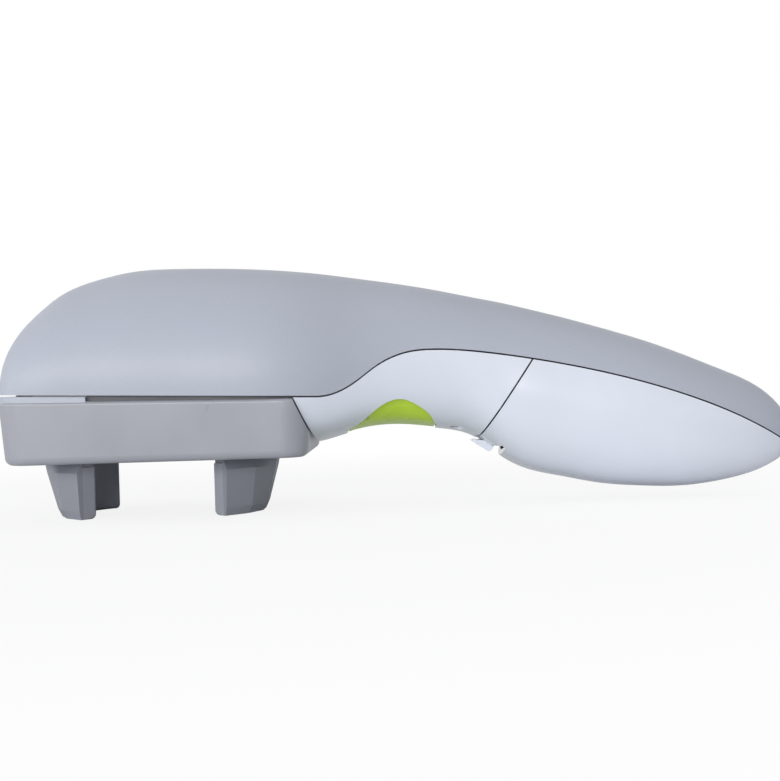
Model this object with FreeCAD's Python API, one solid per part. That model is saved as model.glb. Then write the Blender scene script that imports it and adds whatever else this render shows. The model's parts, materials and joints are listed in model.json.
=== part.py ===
"""Handheld electric opener for bottle caps and jar lids.

Frame: the origin is on the gripping axis, at the lower edge of the jaws. +X runs to the tail of
the handle and +Z is up. All sizes are in millimetres.
"""

import FreeCAD
import Part
import math
import os
from FreeCAD import Vector

# Body outline, in the body's own frame: x along the handle, z from near the seam of the head
wall = 2.2
seam_gap = 0.5
body_pitch_deg = 1.74
body_rise = 39.0
body_offset = 1.2
nose_x = -45.6
nose_depth = 15.0
nose_steepness = 1.3
tail_x = 201.6
tail_level = -15.0
tail_inset_start = 185.0
head_half_width = 41.0
grip_half_width = 22.5
crown = 38.7
belly = -30.6
seam_level = -1.6
crest = 12.6
head_fullness = 2.6
grip_fullness = 2.25
front_face_x = 43.7
front_face_slope = 0.467
front_seat_gap = 0.4

# Jaw housing under the head
base_middle_x = 3.2
base_half_length = 46.5
base_half_width = 40.4
base_corner = 8.0
base_draft_deg = 4.0
base_low = 17.8
base_top = 36.1
base_top_tilt_deg = 0.94
base_edge_round = 2.4
base_rim_round = 1.0
corner_post_x = 32.5
corner_post_y = 29.0
post_radius = 4.2
lip_thickness = 1.2
lip_overlap = 2.2
lip_side_gap = 1.2
lip_nose_gap = 3.1
lip_corner = 9.0
lip_end_x = 30.0
lip_half_x = -nose_x - wall - lip_nose_gap
lip_half_y = head_half_width - wall - lip_side_gap

# Jaws and pads
grip_radius = 26.0
pad_thickness = 5.0
pad_reach_deg = 46.0
pad_drop = 1.2
jaw_height = 17.2
jaw_stroke = 13.0
# Outline of the jaw's back at each level: z, radius of the end corner, cheek x and y, back x and y
jaw_levels = [
    (0.0, 31.8, 28.2, 15.6, 32.0, 5.6),
    (2.6, 32.3, 29.6, 15.8, 33.2, 6.0),
    (14.2, 32.9, 31.0, 15.8, 36.4, 6.0),
    (jaw_height, 31.4, 29.5, 13.8, 37.0, 6.0),
]
stem_near = 21.5
stem_far = 30.5
stem_half_width = 4.3

# Turntable and racks
disc_radius = 32.5
disc_gap = 0.5
disc_thickness = 2.5
flange_radius = 34.4
flange_thickness = 1.7
face_gap = 0.3
slot_end_gap = 0.8
rack_height = 4.0
rack_side_gap = 0.3
rack_outer_y = 12.5
rack_inner_y = 4.4
rack_end_x = 6.0
rib_width = 2.6
rib_inner_y = rack_outer_y + rack_side_gap
rib_reach = 29.5
cover_thickness = 2.0
cover_radius = 31.0
hub_radius = 6.0
hub_top = 37.7
bush_radius = hub_radius + 2.0
ring_level = 36.8
ring_thickness = 0.5

# Gear train
pressure_deg = 20.0
addendum = 0.8
dedendum = 1.2
backlash = 0.16
centre_slack = 0.08
pinion_teeth = 12
output_teeth = 52
coarse_module = 1.0
second_teeth = 42
middle_module = 0.7
first_teeth = 50
motor_teeth = 10
fine_module = 0.5
output_width = 4.0
second_width = 2.5
first_width = 2.0
second_angle_deg = -15.0
first_distance = 29.0
motor_turn_deg = 210.0
shaft_radius = 2.5
stub_radius = 1.5
axle_radius = 1.5
running_gap = 0.05
gear_gap = 0.8

# Frame plates, brake and motor
plate_half_x = 39.0
plate_half_y = 35.3
plate_thickness = 2.0
plate_level = 29.4
motor_plate_level = 45.0
pillar_radius = 3.0
pillar_places = [(-25.0, 20.0), (-25.0, -20.0), (20.0, -28.0), (16.0, 30.0)]
brake_radius = 9.0
brake_thickness = 1.5
pad_ring_thickness = 1.2
motor_radius = 12.0
motor_length = 25.0
motor_shaft_radius = 1.0
motor_screw_radius = 8.0

# Trigger, switch and board
trigger_front = 59.2
trigger_rear = 86.4
arch_top = -2.6
arch_middle = 75.6
trigger_edge_gap = 0.6
trigger_side_gap = 0.7
trigger_low_gap = 0.35
trigger_skin = 2.0
trigger_channel_top = 2.4
pin_x = 62.0
pin_z = -7.2
pin_radius = 1.5
pin_half = 19.2
switch_x = 78.0
switch_length = 20.0
switch_width = 6.4
switch_low = 1.0
switch_height = 8.0
shelf_rib_height = 3.4
switch_screw_x = [switch_x - 6.0, switch_x + 6.0]
switch_screw_z = switch_low + 5.0
spring_x = 70.0
spring_radius = 2.6
spring_wire = 0.35
spring_turns = 5
spring_low = -8.7
spring_high = switch_low - 0.1
spring_peg_gap = 0.3
plunger_low = -1.6
plunger_radius = 1.2
board_level = 14.0
board_thickness = 1.6

# Batteries and their tray
cell_radius = 7.1
cell_body = 49.0
cell_nub = 1.2
cell_pitch = 14.6
cell_start_x = 110.0
cell_start_z = 1.7
cell_tilt_deg = 11.0
contact_room = 2.0
tray_wall = 1.0
tray_clearance = 0.3
tray_end_low = -12.5
cell_span = cell_body + cell_nub
tray_half = cell_pitch / 2 + cell_radius + tray_clearance

# Battery cover and its latch
cover_seam_top = (117.6, 12.0)
cover_seam_low = (100.4, -14.6)
cover_gap = 0.6
hinge_x = 199.9
hinge_z = -16.0
hinge_radius = 0.8
hinge_pin_half = 4.2
knuckle_radius = 1.5
knuckle_half_width = 2.6
latch_half_width = 5.5
latch_side_gap = 0.4
latch_pin_x = 104.3
latch_pin_z = -14.0
latch_pin_radius = 0.8
latch_barrel_radius = 1.7
latch_cheek = 1.8
latch_notch = latch_half_width + latch_side_gap
latch_pin_half = latch_notch + latch_cheek
finger_groove = [(105.2, -17.4), (108.7, -17.4), (107.4, -21.4), (107.2, -28.0), (105.2, -28.0)]
finger_groove_half = 12.5

# Screws
screw_radius = 1.3
screw_head_radius = 2.6
screw_head_height = 1.6
small_radius = 0.9
small_head_radius = 1.8
small_head_height = 1.2
housing_screw_seat = 24.0
grip_screw_seat = 0.0
grip_post_level = 12.8
tray_ear_top = 16.6
boss_places = [(corner_post_x * sx, corner_post_y * sy) for sx in (1, -1) for sy in (1, -1)]
grip_screw_places = [(94.0, 7.5), (94.0, -7.5)]
board_post_places = [(66.0, 0.0), (84.0, 0.0)]
tray_post_places = [(101.5, 8.0), (101.5, -8.0)]
hub_screw_places = [(22.0 * sx, 14.1 * sy) for sx in (1, -1) for sy in (1, -1)]
jaw_screw_x = [-28.4, -23.6]

# Levels that follow from the sizes above
floor_top = base_low + wall
disc_top = base_low + disc_thickness
flange_top = disc_top + flange_thickness
rack_low = flange_top + face_gap
rack_top = rack_low + rack_height
cover_low = rack_top + face_gap
cover_top = cover_low + cover_thickness
plate_top = plate_level + plate_thickness
output_low = plate_top + gear_gap + 0.3
output_top = output_low + output_width
brake_low = hub_top + 1.1
brake_top = brake_low + brake_thickness
motor_low = motor_plate_level + plate_thickness

# Sections of the body: x, half width, level of the widest line, top, bottom
body_sections = [
    (nose_x, 22.0, -1.0, 0.5, -17.0),
    (-45.2, 29.0, -1.0, 5.0, -17.0),
    (-44.2, 33.8, -1.0, 11.2, -17.0),
    (-42.4, 36.9, -1.0, 16.6, -17.0),
    (-39.5, 39.1, -1.0, 21.4, -17.0),
    (-35.0, 40.4, -1.0, 26.2, -17.0),
    (-30.0, head_half_width, -1.0, 30.4, -17.0),
    (-20.0, head_half_width, -1.0, 34.9, -17.0),
    (-8.0, head_half_width, -1.0, 37.8, -17.0),
    (6.0, head_half_width, -1.0, crown, -17.0),
    (24.0, head_half_width, -1.0, crown, -17.0),
    (37.0, 40.2, -0.8, 38.2, -17.0),
    (50.0, 36.6, 0.5, 37.2, -16.0),
    (62.0, 31.2, 3.5, 35.8, -12.7),
    (75.0, 27.0, 7.5, 34.1, -11.0),
    (88.0, 24.4, 8.6, 32.0, -12.0),
    (100.0, 23.0, 6.6, 29.7, -15.0),
    (107.0, grip_half_width, 4.0, 28.4, -20.2),
    (115.0, grip_half_width, 0.8, 26.6, -24.6),
    (127.0, grip_half_width, -2.4, 23.7, -27.4),
    (140.0, grip_half_width, -4.7, 20.2, -29.7),
    (153.0, 22.2, -6.8, 16.4, belly),
    (166.0, 21.0, -9.4, 11.8, belly),
    (179.0, 18.0, -11.2, 6.7, -28.8),
    (190.0, 13.4, -12.8, 1.6, -25.6),
    (197.8, 7.8, -14.4, -5.4, -21.2),
    (200.7, 3.6, -15.0, -10.4, -18.2),
]
seam_points = [
    (51.0, seam_level - 0.2),
    (57.0, -0.3),
    (62.3, 2.9),
    (67.1, 6.7),
    (72.0, 9.7),
    (78.0, 11.8),
    (86.0, crest),
    (100.0, 11.9),
    (117.0, 9.7),
    (137.0, 6.0),
    (162.0, -0.7),
    (182.0, -8.2),
    (196.0, -15.0),
    (206.0, -20.5),
]


def box(x0, x1, y0, y1, z0, z1):
    return Part.makeBox(x1 - x0, y1 - y0, z1 - z0, Vector(x0, y0, z0))


def rod(x, y, z0, z1, radius):
    return Part.makeCylinder(radius, z1 - z0, Vector(x, y, z0))


def tube(x, y, z0, z1, outer, inner):
    return rod(x, y, z0, z1, outer).cut(rod(x, y, z0 - 1, z1 + 1, inner))


def cross_rod(x, z, y0, y1, radius):
    return Part.makeCylinder(radius, y1 - y0, Vector(x, y0, z), Vector(0, 1, 0))


def outline_face(points, place):
    corners = [place(point) for point in points]
    return Part.Face(Part.makePolygon(corners + corners[:1]))


def side_prism(points, half_width):
    """A block whose outline is drawn in x and z."""
    face = outline_face(points, lambda p: Vector(p[0], -half_width, p[1]))
    return face.extrude(Vector(0, 2 * half_width, 0))


def plan_prism(points, low, high):
    """A block whose outline is drawn in x and y."""
    face = outline_face(points, lambda p: Vector(p[0], p[1], low))
    return face.extrude(Vector(0, 0, high - low))


def rounded_wire(half_x, half_y, corner, level):
    x = half_x - corner
    y = half_y - corner
    lean = corner / math.sqrt(2)
    edges = []
    for turn, sx, sy in ((0, 1, 1), (1, -1, 1), (2, -1, -1), (3, 1, -1)):
        start = Vector(math.cos(turn * math.pi / 2), math.sin(turn * math.pi / 2), 0)
        end = Vector(-start.y, start.x, 0)
        middle = Vector(sx * x, sy * y, level)
        tip = middle + Vector(sx * lean, sy * lean, 0)
        edges.append(Part.Arc(middle + start * corner, tip, middle + end * corner).toShape())
    corners = []
    for index, arc in enumerate(edges):
        corners.append(arc)
        follower = edges[(index + 1) % 4]
        corners.append(Part.makeLine(arc.Vertexes[1].Point, follower.Vertexes[0].Point))
    return Part.Wire(corners)


def rounded_prism(half_x, half_y, corner, low, high):
    face = Part.Face(rounded_wire(half_x, half_y, corner, low))
    return face.extrude(Vector(0, 0, high - low))


def join(shapes):
    """One solid from pieces that touch."""
    solid = shapes[0]
    for shape in shapes[1:]:
        solid = solid.fuse(shape)
    return solid.removeSplitter()


def both_sides(shape):
    return [shape, shape.mirror(Vector(0, 0, 0), Vector(0, 1, 0))]


def half_turn(shape):
    turned = shape.copy()
    turned.rotate(Vector(0, 0, 0), Vector(0, 0, 1), 180)
    return turned


def to_part(shape):
    """From the body's own frame to the frame of the part."""
    placed = shape.copy()
    placed.rotate(Vector(0, 0, 0), Vector(0, 1, 0), body_pitch_deg)
    placed.translate(Vector(body_offset, 0, body_rise))
    return placed


def to_body(shape):
    placed = shape.copy()
    placed.translate(Vector(-body_offset, 0, -body_rise))
    placed.rotate(Vector(0, 0, 0), Vector(0, 1, 0), -body_pitch_deg)
    return placed


def to_cells(shape):
    """From the frame of the cells, x along their axis, to the body's own frame."""
    placed = shape.copy()
    placed.rotate(Vector(0, 0, 0), Vector(0, 1, 0), cell_tilt_deg)
    placed.translate(Vector(cell_start_x, 0, cell_start_z))
    return placed


def screw(x, y, head_low, tip, radius, head_radius, head_height):
    """Pan head screw; the tip lies above or below the head."""
    side = 1 if tip > head_low else -1
    head = rod(x, y, head_low, head_low + head_height, head_radius)
    start = head_low + head_height if side > 0 else head_low
    shank = rod(x, y, min(start, tip), max(start, tip), radius)
    face = head_low if side > 0 else head_low + head_height
    slot_depth = head_height / 2
    slot_low = face if side > 0 else face - slot_depth
    arm = head_radius * 0.6
    width = head_radius * 0.14
    slot = box(x - arm, x + arm, y - width, y + width, slot_low, slot_low + slot_depth)
    cross = box(x - width, x + width, y - arm, y + arm, slot_low, slot_low + slot_depth)
    return join([head, shank]).cut(slot).cut(cross)


def main_screw(x, y, head_low, tip):
    return screw(x, y, head_low, tip, screw_radius, screw_head_radius, screw_head_height)


def small_screw(x, y, head_low, tip):
    return screw(x, y, head_low, tip, small_radius, small_head_radius, small_head_height)


# Body


def fullness(x):
    share = min(max((x - 30.0) / 70.0, 0.0), 1.0)
    return head_fullness + share * (grip_fullness - head_fullness)


def section(x, half_width, widest, top, bottom, power):
    """Closed curve across the body, squarer than an ellipse."""
    points = []
    for step in range(12):
        angle = -math.pi / 2 + math.pi * step / 6
        across = math.copysign(abs(math.cos(angle)) ** (2 / power), math.cos(angle))
        up = math.copysign(abs(math.sin(angle)) ** (2 / power), math.sin(angle))
        reach = top - widest if up > 0 else widest - bottom
        points.append(Vector(x, half_width * across, widest + reach * up))
    curve = Part.BSplineCurve()
    curve.interpolate(points, PeriodicFlag=True)
    return Part.Wire([curve.toShape()])


def body_block(side_inset, end_inset, top_inset, bottom_inset):
    """The whole body as one block, with each side brought in by its own amount."""
    wires = []
    for x, half_width, widest, top, bottom in body_sections:
        nearness = (nose_x + nose_depth - x) / nose_depth
        shift = end_inset * min(max(nose_steepness * nearness, 0.0), 1.0)
        if x > tail_inset_start:
            shift = -end_inset
        share = min(1.0, half_width / 7.0)
        width = half_width - side_inset * share
        high = max(top - top_inset * share, widest + 0.8)
        low = bottom + bottom_inset * share
        wires.append(section(x + shift, width, widest, high, low, fullness(x)))
    tail = Part.Vertex(Vector(tail_x - end_inset, 0, tail_level))
    return Part.makeLoft(wires + [tail], True, False)


def seam_curve(shift):
    """The parting line between the upper shell and the pieces under it."""
    points = [Vector(x, -70, z + shift) for x, z in seam_points]
    curve = Part.BSplineCurve()
    curve.interpolate(points)
    start = Vector(-80, -70, seam_level + shift)
    return [Part.makeLine(start, points[0]), curve.toShape()], start, points[-1]


def above_seam(shift):
    edges, start, end = seam_curve(shift)
    top_left = Vector(start.x, start.y, 90)
    top_right = Vector(end.x, end.y, 90)
    edges = edges + [Part.makeLine(end, top_right), Part.makeLine(top_right, top_left)]
    edges.append(Part.makeLine(top_left, start))
    return Part.Face(Part.Wire(edges)).extrude(Vector(0, 140, 0))


def below_seam(shift):
    edges, start, end = seam_curve(shift)
    low_left = Vector(start.x, start.y, -60)
    low_right = Vector(end.x, end.y, -60)
    edges = edges + [Part.makeLine(end, low_right), Part.makeLine(low_right, low_left)]
    edges.append(Part.makeLine(low_left, start))
    return Part.Face(Part.Wire(edges)).extrude(Vector(0, 140, 0))


def behind_line(top, low, shift):
    """Everything on the tail side of a slanted line, moved along x by shift."""
    slope = (top[0] - low[0]) / (top[1] - low[1])
    high_x = top[0] + slope * (60 - top[1]) + shift
    low_x = low[0] - slope * (low[1] + 60) + shift
    return side_prism([(high_x, 60), (260, 60), (260, -60), (low_x, -60)], 70)


def behind_front(shift):
    low = (front_face_x - front_face_slope * -18.0, -20.0)
    return behind_line((front_face_x, -2.0), low, shift)


outer_block = body_block(0.0, 0.0, 0.0, 0.0)
middle_block = body_block(wall / 2, wall / 2, wall / 2, wall / 2)
inner_block = body_block(wall, wall, wall, wall)


def hanging_post(x, y, low, radius, bore):
    """A post from the roof of the upper shell and the bore for its screw."""
    return rod(x, y, low, 60, radius).common(middle_block), rod(x, y, low - 1, low + 9, bore)


def hinge_slot():
    """Room for the knuckle of the battery cover and the hole for its pin."""
    reach = knuckle_half_width + face_gap
    room = cross_rod(hinge_x, hinge_z, -reach, reach, knuckle_radius + face_gap)
    return room.fuse(cross_rod(hinge_x, hinge_z, -hinge_pin_half, hinge_pin_half, hinge_radius + running_gap))


def hinge_pin():
    return to_part(cross_rod(hinge_x, hinge_z, -hinge_pin_half, hinge_pin_half, hinge_radius))


def upper_shell():
    shell = outer_block.common(above_seam(seam_gap / 2)).cut(inner_block)
    posts = []
    bores = []
    for x, y in boss_places:
        posts.append(to_body(rod(x, y, plate_top, 90, post_radius - 0.4)).common(middle_block))
        bores.append(to_body(rod(x, y, 10, plate_top + 14, screw_radius + running_gap)))
    hangers = [(place, grip_post_level, 3.6, screw_radius) for place in grip_screw_places]
    hangers += [(place, board_level + board_thickness, 2.6, small_radius) for place in board_post_places]
    hangers += [(place, tray_ear_top, 2.8, small_radius) for place in tray_post_places]
    for place, low, radius, bore in hangers:
        post, hole = hanging_post(place[0], place[1], low, radius, bore + running_gap)
        posts.append(post)
        bores.append(hole)
    bores.append(hinge_slot())
    return to_part(shell.fuse(posts).cut(Part.makeCompound(bores)))


def arch(grow):
    """The opening over the trigger, seen from the side, wider by grow."""
    points = [
        Vector(trigger_front - grow, 0, -12.2),
        Vector(trigger_front + 5.2 - grow * 0.7, 0, -9.0 + grow * 0.7),
        Vector(arch_middle - 4.6, 0, arch_top - 1.2 + grow),
        Vector(arch_middle, 0, arch_top + grow),
        Vector(arch_middle + 5.0, 0, arch_top - 1.8 + grow),
        Vector(trigger_rear - 1.2 + grow * 0.7, 0, -8.2 + grow * 0.5),
        Vector(trigger_rear + grow, 0, -10.6),
    ]
    curve = Part.BSplineCurve()
    curve.interpolate(points)
    start = Vector(points[0].x, 0, -30)
    end = Vector(points[-1].x, 0, -30)
    edges = [curve.toShape(), Part.makeLine(points[-1], end), Part.makeLine(end, start)]
    edges.append(Part.makeLine(start, points[0]))
    face = Part.Face(Part.Wire(edges))
    face.translate(Vector(0, -60, 0))
    return face.extrude(Vector(0, 120, 0))


def pin_bracket(grow):
    return box(pin_x - 3.4 - grow, pin_x + 3.4 + grow, 16.0 - grow, 26.0, -11.0 - grow, -3.6 + grow)


def switch_shelf():
    """Ribs from the side wall to the face that the switch is screwed to."""
    high = switch_low + switch_height
    half = switch_length / 2
    inner = switch_width / 2 + 0.1
    face = box(switch_x - half, switch_x + half, inner, inner + 2.0, switch_low, high)
    rib = box(switch_x - half, switch_x - half + 2.0, inner, 30, switch_low, switch_low + shelf_rib_height)
    far_rib = rib.translated(Vector(switch_length - 2.0, 0, 0))
    shelf = face.fuse([rib.common(middle_block), far_rib.common(middle_block)])
    for x in switch_screw_x:
        shelf = shelf.cut(cross_rod(x, switch_screw_z, 0, 20, small_radius + running_gap))
    return shelf


def lower_block():
    return outer_block.common(below_seam(-seam_gap / 2)).common(behind_front(0.0))


lower_skin = lower_block().cut(inner_block.common(behind_front(wall)))


def handle_shell():
    shell = lower_skin.cut(behind_line(cover_seam_top, cover_seam_low, -cover_gap / 2))
    slot_front = trigger_front - trigger_edge_gap
    slot_rear = trigger_rear + trigger_edge_gap
    slot = trigger_channel.common(box(slot_front, slot_rear, -40, 40, -30, trigger_channel_top))
    shell = shell.cut(arch(0.0)).cut(slot)
    extras = [side.common(middle_block).cut(arch(0.0)) for side in both_sides(pin_bracket(0.0))]
    extras.append(switch_shelf())
    for x, y in grip_screw_places:
        extras.append(rod(x, y, -20, grip_post_level - 0.3, 3.8).common(middle_block))
    shell = shell.fuse(extras)
    holes = [cross_rod(pin_x, pin_z, -pin_half, pin_half, pin_radius + running_gap)]
    for x, y in grip_screw_places:
        holes.append(rod(x, y, -30, grip_post_level + 1, screw_radius + running_gap))
        holes.append(rod(x, y, -30, grip_screw_seat, screw_head_radius + 0.3))
    return to_part(shell.cut(Part.makeCompound(holes)))


trigger_channel = body_block(wall, wall, wall, -0.25)
trigger_block = body_block(wall + trigger_side_gap, wall, wall, trigger_low_gap)
hollow_side = wall + trigger_side_gap + trigger_skin
trigger_hollow = body_block(hollow_side, wall, wall, trigger_low_gap + trigger_skin)


def trigger_button():
    span = box(trigger_front, trigger_rear, -40, 40, -30, 10)
    solid = trigger_block.common(arch(1.9)).common(span)
    room = box(trigger_front + trigger_skin, trigger_rear - trigger_skin, -40, 40, -30, 10)
    solid = solid.cut(trigger_hollow.common(room))
    for side in both_sides(pin_bracket(0.4)):
        solid = solid.cut(side)
    barrel = cross_rod(pin_x, pin_z, -15.5, 15.5, 2.9)
    web = box(pin_x - 1.6, pin_x + 1.6, -15.5, 15.5, -12.0, pin_z)
    post = box(switch_x - 2.0, switch_x + 2.0, -2.2, 2.2, -12.0, plunger_low - face_gap)
    peg_radius = spring_radius - 2 * spring_wire - spring_peg_gap
    peg = tube(spring_x, 0, -12.0, spring_low + 1.4, peg_radius, 0.6)
    solid = solid.fuse([part.common(trigger_block) for part in (barrel, web, post, peg)])
    return solid.cut(cross_rod(pin_x, pin_z, -30, 30, pin_radius + running_gap))


def coil(x, low, high, radius, wire, turns):
    """Compression spring standing on its axis."""
    pitch = (high - low - 2 * wire) / turns
    path = Part.makeHelix(pitch, high - low - 2 * wire, radius - wire)
    profile = Part.Wire([Part.makeCircle(wire, Vector(radius - wire, 0, 0), Vector(0, 1, 0))])
    spring = Part.Wire(path).makePipeShell([profile], True, True)
    spring.translate(Vector(x, 0, low + wire))
    return spring


def trigger_switch():
    half = switch_length / 2 - 0.2
    side = switch_width / 2
    high = switch_low + switch_height - 0.2
    body = box(switch_x - half, switch_x + half, -side, side, switch_low, high)
    body = body.cut(rod(switch_x, 0, switch_low - 1, switch_low + 4.0, plunger_radius + 0.1))
    terminals = []
    for x in (switch_x - 7.0, switch_x, switch_x + 7.0):
        terminals.append(box(x - 1.2, x + 1.2, -0.3, 0.3, high - 0.8, high + 2.6))
    body = body.fuse(terminals)
    for x in switch_screw_x:
        body = body.cut(cross_rod(x, switch_screw_z, -20, 20, small_radius + running_gap))
    return body


def switch_plunger():
    return rod(switch_x, 0, plunger_low, switch_low + 2.0, plunger_radius)


def switch_screws():
    screws = []
    side = switch_width / 2
    for x in switch_screw_x:
        shank = cross_rod(x, switch_screw_z, -side, side + 1.6, small_radius)
        head = cross_rod(x, switch_screw_z, -side - small_head_height, -side, small_head_radius)
        screws.append(join([shank, head]))
    return Part.makeCompound(screws)


def circuit_board():
    board = box(61.0, 89.4, -8.0, 8.0, board_level, board_level + board_thickness)
    for x, y in board_post_places:
        board = board.cut(rod(x, y, 0, 30, small_radius + running_gap))
    return board


def board_parts():
    chip = box(70.0, 78.0, -6.0, -1.0, board_level + board_thickness, board_level + board_thickness + 2.0)
    drum = rod(75.0, 4.0, board_level + board_thickness, board_level + board_thickness + 7.0, 3.0)
    return Part.makeCompound([chip, drum])


# Jaw housing


def housing_block(inset, low, high):
    """Draughted block with rounded corners."""
    lean = math.tan(math.radians(base_draft_deg))
    wires = []
    for level in (low, high):
        drop = (base_top - level) * lean + inset
        wire = rounded_wire(base_half_length - drop, base_half_width - drop, base_corner - inset, level)
        wires.append(wire.translated(Vector(base_middle_x, 0, 0)))
    return Part.makeLoft(wires, True, True)


def handle_side(shift):
    """Everything behind the slanted face where the handle begins, in the frame of the part."""
    return to_part(behind_front(shift))


def jaw_housing():
    solid = housing_block(0.0, base_low, base_top + 4)
    tilt = box(-80, 80, -80, 80, 0, 40)
    tilt.rotate(Vector(0, 0, 0), Vector(0, 1, 0), base_top_tilt_deg)
    tilt.translate(Vector(0, 0, base_top))
    solid = solid.cut(tilt)
    low_edges = [edge for edge in solid.Edges if edge.BoundBox.ZMax < base_low + 0.01]
    solid = solid.makeFillet(base_edge_round, low_edges)
    rim_edges = [edge for edge in solid.Edges if edge.BoundBox.ZMin > base_top - 1.5]
    solid = solid.makeFillet(base_rim_round, rim_edges)
    solid = solid.cut(housing_block(wall, floor_top, base_top + 6).cut(handle_side(-front_seat_gap - wall)))
    posts = [rod(x, y, base_low + 1, plate_level, post_radius) for x, y in boss_places]
    solid = solid.fuse(posts + [locating_lip()])
    solid = solid.cut(rod(0, 0, base_low - 1, floor_top + 0.1, disc_radius + disc_gap))
    holes = []
    for x, y in boss_places:
        holes.append(rod(x, y, base_low - 1, plate_level + 1, screw_radius + running_gap))
        holes.append(rod(x, y, base_low - 1, housing_screw_seat, screw_head_radius + 0.3))
    return solid.cut(Part.makeCompound(holes)).cut(handle_side(-front_seat_gap))


def locating_lip():
    """Rim that reaches up inside the upper shell, open where the handle begins."""
    low = 33.0
    step_top = 34.6
    high = base_top + lip_overlap + 1.2
    ring = rounded_prism(lip_half_x, lip_half_y, lip_corner, low, high)
    inner_x = lip_half_x - lip_thickness
    inner_y = lip_half_y - lip_thickness
    inner = rounded_prism(inner_x, inner_y, lip_corner - lip_thickness, low - 1, high + 1)
    middle = Vector(body_offset, 0, 0)
    lip = ring.translated(middle).fuse(housing_block(wall / 2, low, step_top)).cut(inner.translated(middle))
    return lip.cut(box(lip_end_x, 60.0, -50.0, 50.0, step_top - 0.1, high + 1))


def housing_screws():
    screws = []
    for x, y in boss_places:
        screws.append(main_screw(x, y, housing_screw_seat - screw_head_height, plate_top + 10))
    return Part.makeCompound(screws)


def grip_screws():
    screws = []
    for x, y in grip_screw_places:
        screws.append(main_screw(x, y, grip_screw_seat - screw_head_height, grip_post_level + 7))
    return to_part(Part.makeCompound(screws))


# Jaws


def polar(radius, degrees):
    angle = math.radians(degrees)
    return Vector(radius * math.cos(angle), radius * math.sin(angle), 0)


def jaw_outline(level, end_radius, cheek_x, cheek_y, back_x, back_y):
    """Outline of the left jaw at one level, from one end over the faceted back to the other."""
    front = grip_radius + 1.0
    half = []
    for radius in (front, end_radius):
        corner = polar(radius, 180 - pad_reach_deg)
        half.append((corner.x, corner.y))
    half += [(-cheek_x, cheek_y), (-back_x, back_y)]
    points = half + [(x, -y) for x, y in reversed(half)]
    corners = [Vector(x, y, level) for x, y in points]
    return Part.makePolygon(corners + corners[:1])


def left_jaw():
    """Jaw body with a lip over the pad and a stem up to the rack."""
    body = Part.makeLoft([jaw_outline(*sizes) for sizes in jaw_levels], True, True)
    body = body.cut(rod(0, 0, -1, jaw_height + 1, grip_radius + pad_thickness))
    pad_top = jaw_height - pad_drop + running_gap
    lip_outer = grip_radius + pad_thickness + 0.2
    lip = ring_sector(grip_radius + 0.6, lip_outer, pad_reach_deg - 1.0, pad_top, jaw_height)
    stem = box(-stem_far, -stem_near, -stem_half_width, stem_half_width, pad_top, rack_low)
    solid = body.fuse([lip, stem])
    for x in jaw_screw_x:
        solid = solid.cut(rod(x, 0, jaw_height - 0.5, rack_low + 1, small_radius + running_gap))
    return solid


def ring_sector(inner, outer, reach_deg, low, high):
    """Part of a ring on the left side of the spindle, reach_deg to each side of -X."""
    near_in = polar(inner, 180 + reach_deg)
    near_out = polar(outer, 180 + reach_deg)
    far_in = polar(inner, 180 - reach_deg)
    far_out = polar(outer, 180 - reach_deg)
    edges = [Part.Arc(near_in, Vector(-inner, 0, 0), far_in).toShape(), Part.makeLine(far_in, far_out)]
    edges += [Part.Arc(far_out, Vector(-outer, 0, 0), near_out).toShape(), Part.makeLine(near_out, near_in)]
    face = Part.Face(Part.Wire(edges))
    face.translate(Vector(0, 0, low))
    return face.extrude(Vector(0, 0, high - low))


def left_pad():
    outer = grip_radius + pad_thickness - running_gap
    return ring_sector(grip_radius, outer, pad_reach_deg, 0.0, jaw_height - pad_drop)


def rack_tooth(x, pitch_y, side):
    """One straight sided tooth; side is the way the tooth points along y."""
    tip = addendum * coarse_module
    root = dedendum * coarse_module + 0.01
    half = math.pi * coarse_module / 4 - backlash / 4
    lean = math.tan(math.radians(pressure_deg))
    points = [(x - half - root * lean, pitch_y - side * root), (x - half + tip * lean, pitch_y + side * tip)]
    points += [(x + half - tip * lean, pitch_y + side * tip), (x + half + root * lean, pitch_y - side * root)]
    return plan_prism(points, rack_low, rack_top)


def left_rack():
    pitch_y = -pinion_teeth * coarse_module / 2 - centre_slack / 2
    face_y = pitch_y - dedendum * coarse_module
    plate = box(-stem_far - 0.5, -stem_near + 0.5, -rack_outer_y, rack_inner_y, rack_low, rack_top)
    arm = box(-stem_near, rack_end_x, -rack_outer_y, face_y, rack_low, rack_top)
    tooth_pitch = math.pi * coarse_module
    teeth = []
    for index in range(-6, 2):
        teeth.append(rack_tooth((index + 0.5) * tooth_pitch, pitch_y, 1))
    rack = plate.fuse([arm] + teeth)
    rack = rack.cut(box(rack_end_x, 30, -20, 20, rack_low - 1, rack_top + 1))
    for x in jaw_screw_x:
        rack = rack.cut(rod(x, 0, rack_low - 1, rack_top + 1, small_radius + running_gap))
        rack = rack.cut(rod(x, 0, rack_top - small_head_height, rack_top + 1, small_head_radius + 0.1))
    return rack


def jaw_screws():
    screws = []
    for x in jaw_screw_x:
        screws.append(small_screw(x, 0, rack_top - small_head_height, jaw_height))
    return Part.makeCompound(screws)


# Turntable


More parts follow.
